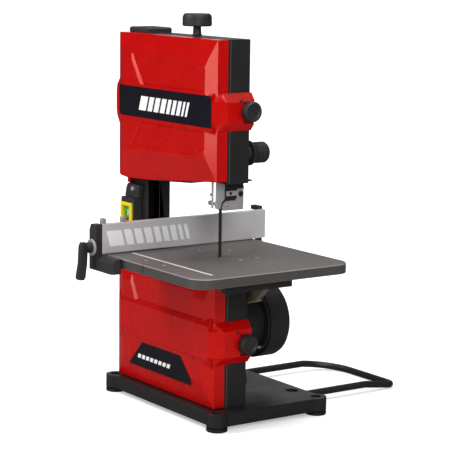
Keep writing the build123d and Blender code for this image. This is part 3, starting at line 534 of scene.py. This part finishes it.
def fence_details():
    """Two clips on the rail, the bright washer under the lever, and plain bars on the side."""
    low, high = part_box("fence_rail")
    x0, x1 = low.x / MM, high.x / MM
    y0, z1 = low.y / MM, high.z / MM
    clip = [(0, 0), (8, 0), (8, 7), (6, 9.3), (1.6, 9.3), (0, 7.5)]
    clips = [[(start + y, z1 + z) for y, z in clip] for start in (y0, y0 + 38)]
    piece("fence_clips", *prism(clips, x0 + 0.5, x1 - 0.5, 0), STEEL, "fence", "aluminium", 0.5)
    washer = [(8.6, -236.2), (13.4, -236.2), (14.0, -235.6), (14.0, -233.6), (12.6, -233.6),
              (12.6, -235.7), (8.6, -235.7)]
    piece("lever_washer", *lathe(washer, (-15, 0, 288), 1, 48, True), STEEL, "fence_handle", "steel",
          0.2)
    bars = slanted_bars(-206, z1 - 38, z1 - 12, [28, 14, 14, 14, 11, 11, 11, 7, 7], 5, -7)
    print_depth = 0.15
    piece("fence_bars", *prism(bars, x1, x1 + print_depth, 0), PALE_PRINT, "fence", "aluminium")


def switch_marks():
    """Plain on and off marks on the two buttons."""
    x, front, depth = -134.5, -91.7, 0.12
    bar = [strip(x - 1.2, x + 1.2, 314.5, 324)]
    piece("start_mark", *prism(bar, front - depth, front, 1), PALE_PRINT, "start", "green_plastic")
    ring = [(5.0, 0.0), (5.0, -depth), (3.4, -depth), (3.4, 0.0)]
    piece("stop_mark", *lathe(ring, (x, front, 295.25), 1, 40, True), PALE_PRINT, "stop",
          "red_plastic")


# ---------------------------------------------------------------- stage
FLOOR_GLOW = 0.40               # light the floor adds in the picture only, near the machine
FLOOR_FADE = (0.7, 2.2)         # distance in metres over which the floor turns white
FLOOR_REFLECTED = (0.12, 0.12, 0.12)   # the floor's colour in glossy surfaces
ROOM_GLOW = 0.30                # even light from all round
ROOM_REFLECTED = 0.03           # how bright the room looks in glossy surfaces
MACHINE_MIDDLE = (0, 0, 0.35)
LIGHTS = {                      # place, power, size
    "key": ((-1.0, -2.3, 2.7), 40, (1.4, 1.2)),
    "strip": ((-0.75, -3.1, 1.25), 34, (0.55, 2.5)),
    "side": ((2.5, -1.0, 1.5), 42, (0.8, 1.2)),
    "top": ((0.2, 0.3, 2.6), 30, (1.4, 1.4)),
    "back": ((-3.0, 2.2, 1.15), 5, (2.0, 0.9)),
}


def area_light(name, location, target, power, size):
    """White rectangular light that faces the target."""
    data = bpy.data.lights.new(name, "AREA")
    data.energy = power
    data.shape = "RECTANGLE"
    data.size, data.size_y = size
    obj = bpy.data.objects.new(name, data)
    obj.location = location
    obj.rotation_euler = (Vector(target) - Vector(location)).to_track_quat("-Z", "Y").to_euler()
    bpy.context.scene.collection.objects.link(obj)


def pick(nodes, links, factor, usual, special):
    """Float mix of two values; each may be a number or a socket."""
    mix = nodes.new("ShaderNodeMix")
    links.new(factor, mix.inputs[0])
    for socket, value in ((mix.inputs[2], usual), (mix.inputs[3], special)):
        if hasattr(value, "links"):
            links.new(value, socket)
        else:
            socket.default_value = value
    return mix.outputs[0]


def white_floor():
    """Pale floor that fades to the white background away from the machine."""
    mat = finish("pale_floor", (0.9, 0.9, 0.9), 0.8, bump=0.0, shade=0.99, specular=0.0)
    nodes, links = mat.node_tree.nodes, mat.node_tree.links
    distance = nodes.new("ShaderNodeVectorMath")
    distance.operation = "LENGTH"
    links.new(object_coords(nodes, links), distance.inputs[0])
    glow = remap(nodes, links, distance.outputs["Value"], FLOOR_GLOW, 1.0, *FLOOR_FADE)
    path = nodes.new("ShaderNodeLightPath")
    bsdf = nodes["Principled BSDF"]
    tone = bsdf.inputs["Base Color"].links[0].from_socket
    links.new(mix_colour(nodes, links, path.outputs["Is Glossy Ray"], tone, FLOOR_REFLECTED),
              bsdf.inputs["Base Color"])
    bsdf.inputs["Emission Color"].default_value = (1, 1, 1, 1)
    links.new(pick(nodes, links, path.outputs["Is Camera Ray"], 0.0, glow),
              bsdf.inputs["Emission Strength"])
    bpy.ops.mesh.primitive_plane_add(size=60, location=(0, 0, 0))
    floor = bpy.context.object
    floor.name = "floor"
    floor.data.materials.append(mat)


def studio():
    """Floor, even room light that hardly shows in glossy surfaces, and soft lights."""
    white_floor()
    world = bpy.data.worlds.new("studio")
    bpy.context.scene.world = world
    world.use_nodes = True
    nodes, links = world.node_tree.nodes, world.node_tree.links
    background = nodes["Background"]
    background.inputs["Color"].default_value = (1, 1, 1, 1)
    path = nodes.new("ShaderNodeLightPath")
    shading = pick(nodes, links, path.outputs["Is Glossy Ray"], ROOM_GLOW, ROOM_REFLECTED)
    links.new(pick(nodes, links, path.outputs["Is Camera Ray"], shading, 1.0),
              background.inputs["Strength"])
    for name, (place, power, size) in LIGHTS.items():
        area_light(name, place, MACHINE_MIDDLE, power, size)
    view = bpy.context.scene.view_settings
    view.view_transform = "Standard"
    view.look = "None"


def camera():
    """Long lens from the front right, a little above the table."""
    eye = Vector((2.4186, -1.6638, 0.7724))
    aim = Vector((0.042, -0.0079, 0.3126))
    roll = math.radians(0.73)
    forward = (aim - eye).normalized()
    side = forward.cross(Vector((0, 0, 1))).normalized()
    up = side.cross(forward)
    right = math.cos(roll) * side + math.sin(roll) * up
    top = math.cos(roll) * up - math.sin(roll) * side
    data = bpy.data.cameras.new("camera")
    data.lens = 139.5
    data.sensor_width = 36
    data.clip_end = 60
    obj = bpy.data.objects.new("camera", data)
    rotation = Matrix((right, top, -forward)).transposed()
    obj.matrix_world = Matrix.Translation(eye) @ rotation.to_4x4()
    bpy.context.scene.collection.objects.link(obj)
    bpy.context.scene.camera = obj


dress_nodes()
band_blade()
support_tube()
door_graphics()
small_screws()
painted_edge_highlights()
guide_details()
table_scale()
fence_details()
switch_marks()
studio()
camera()
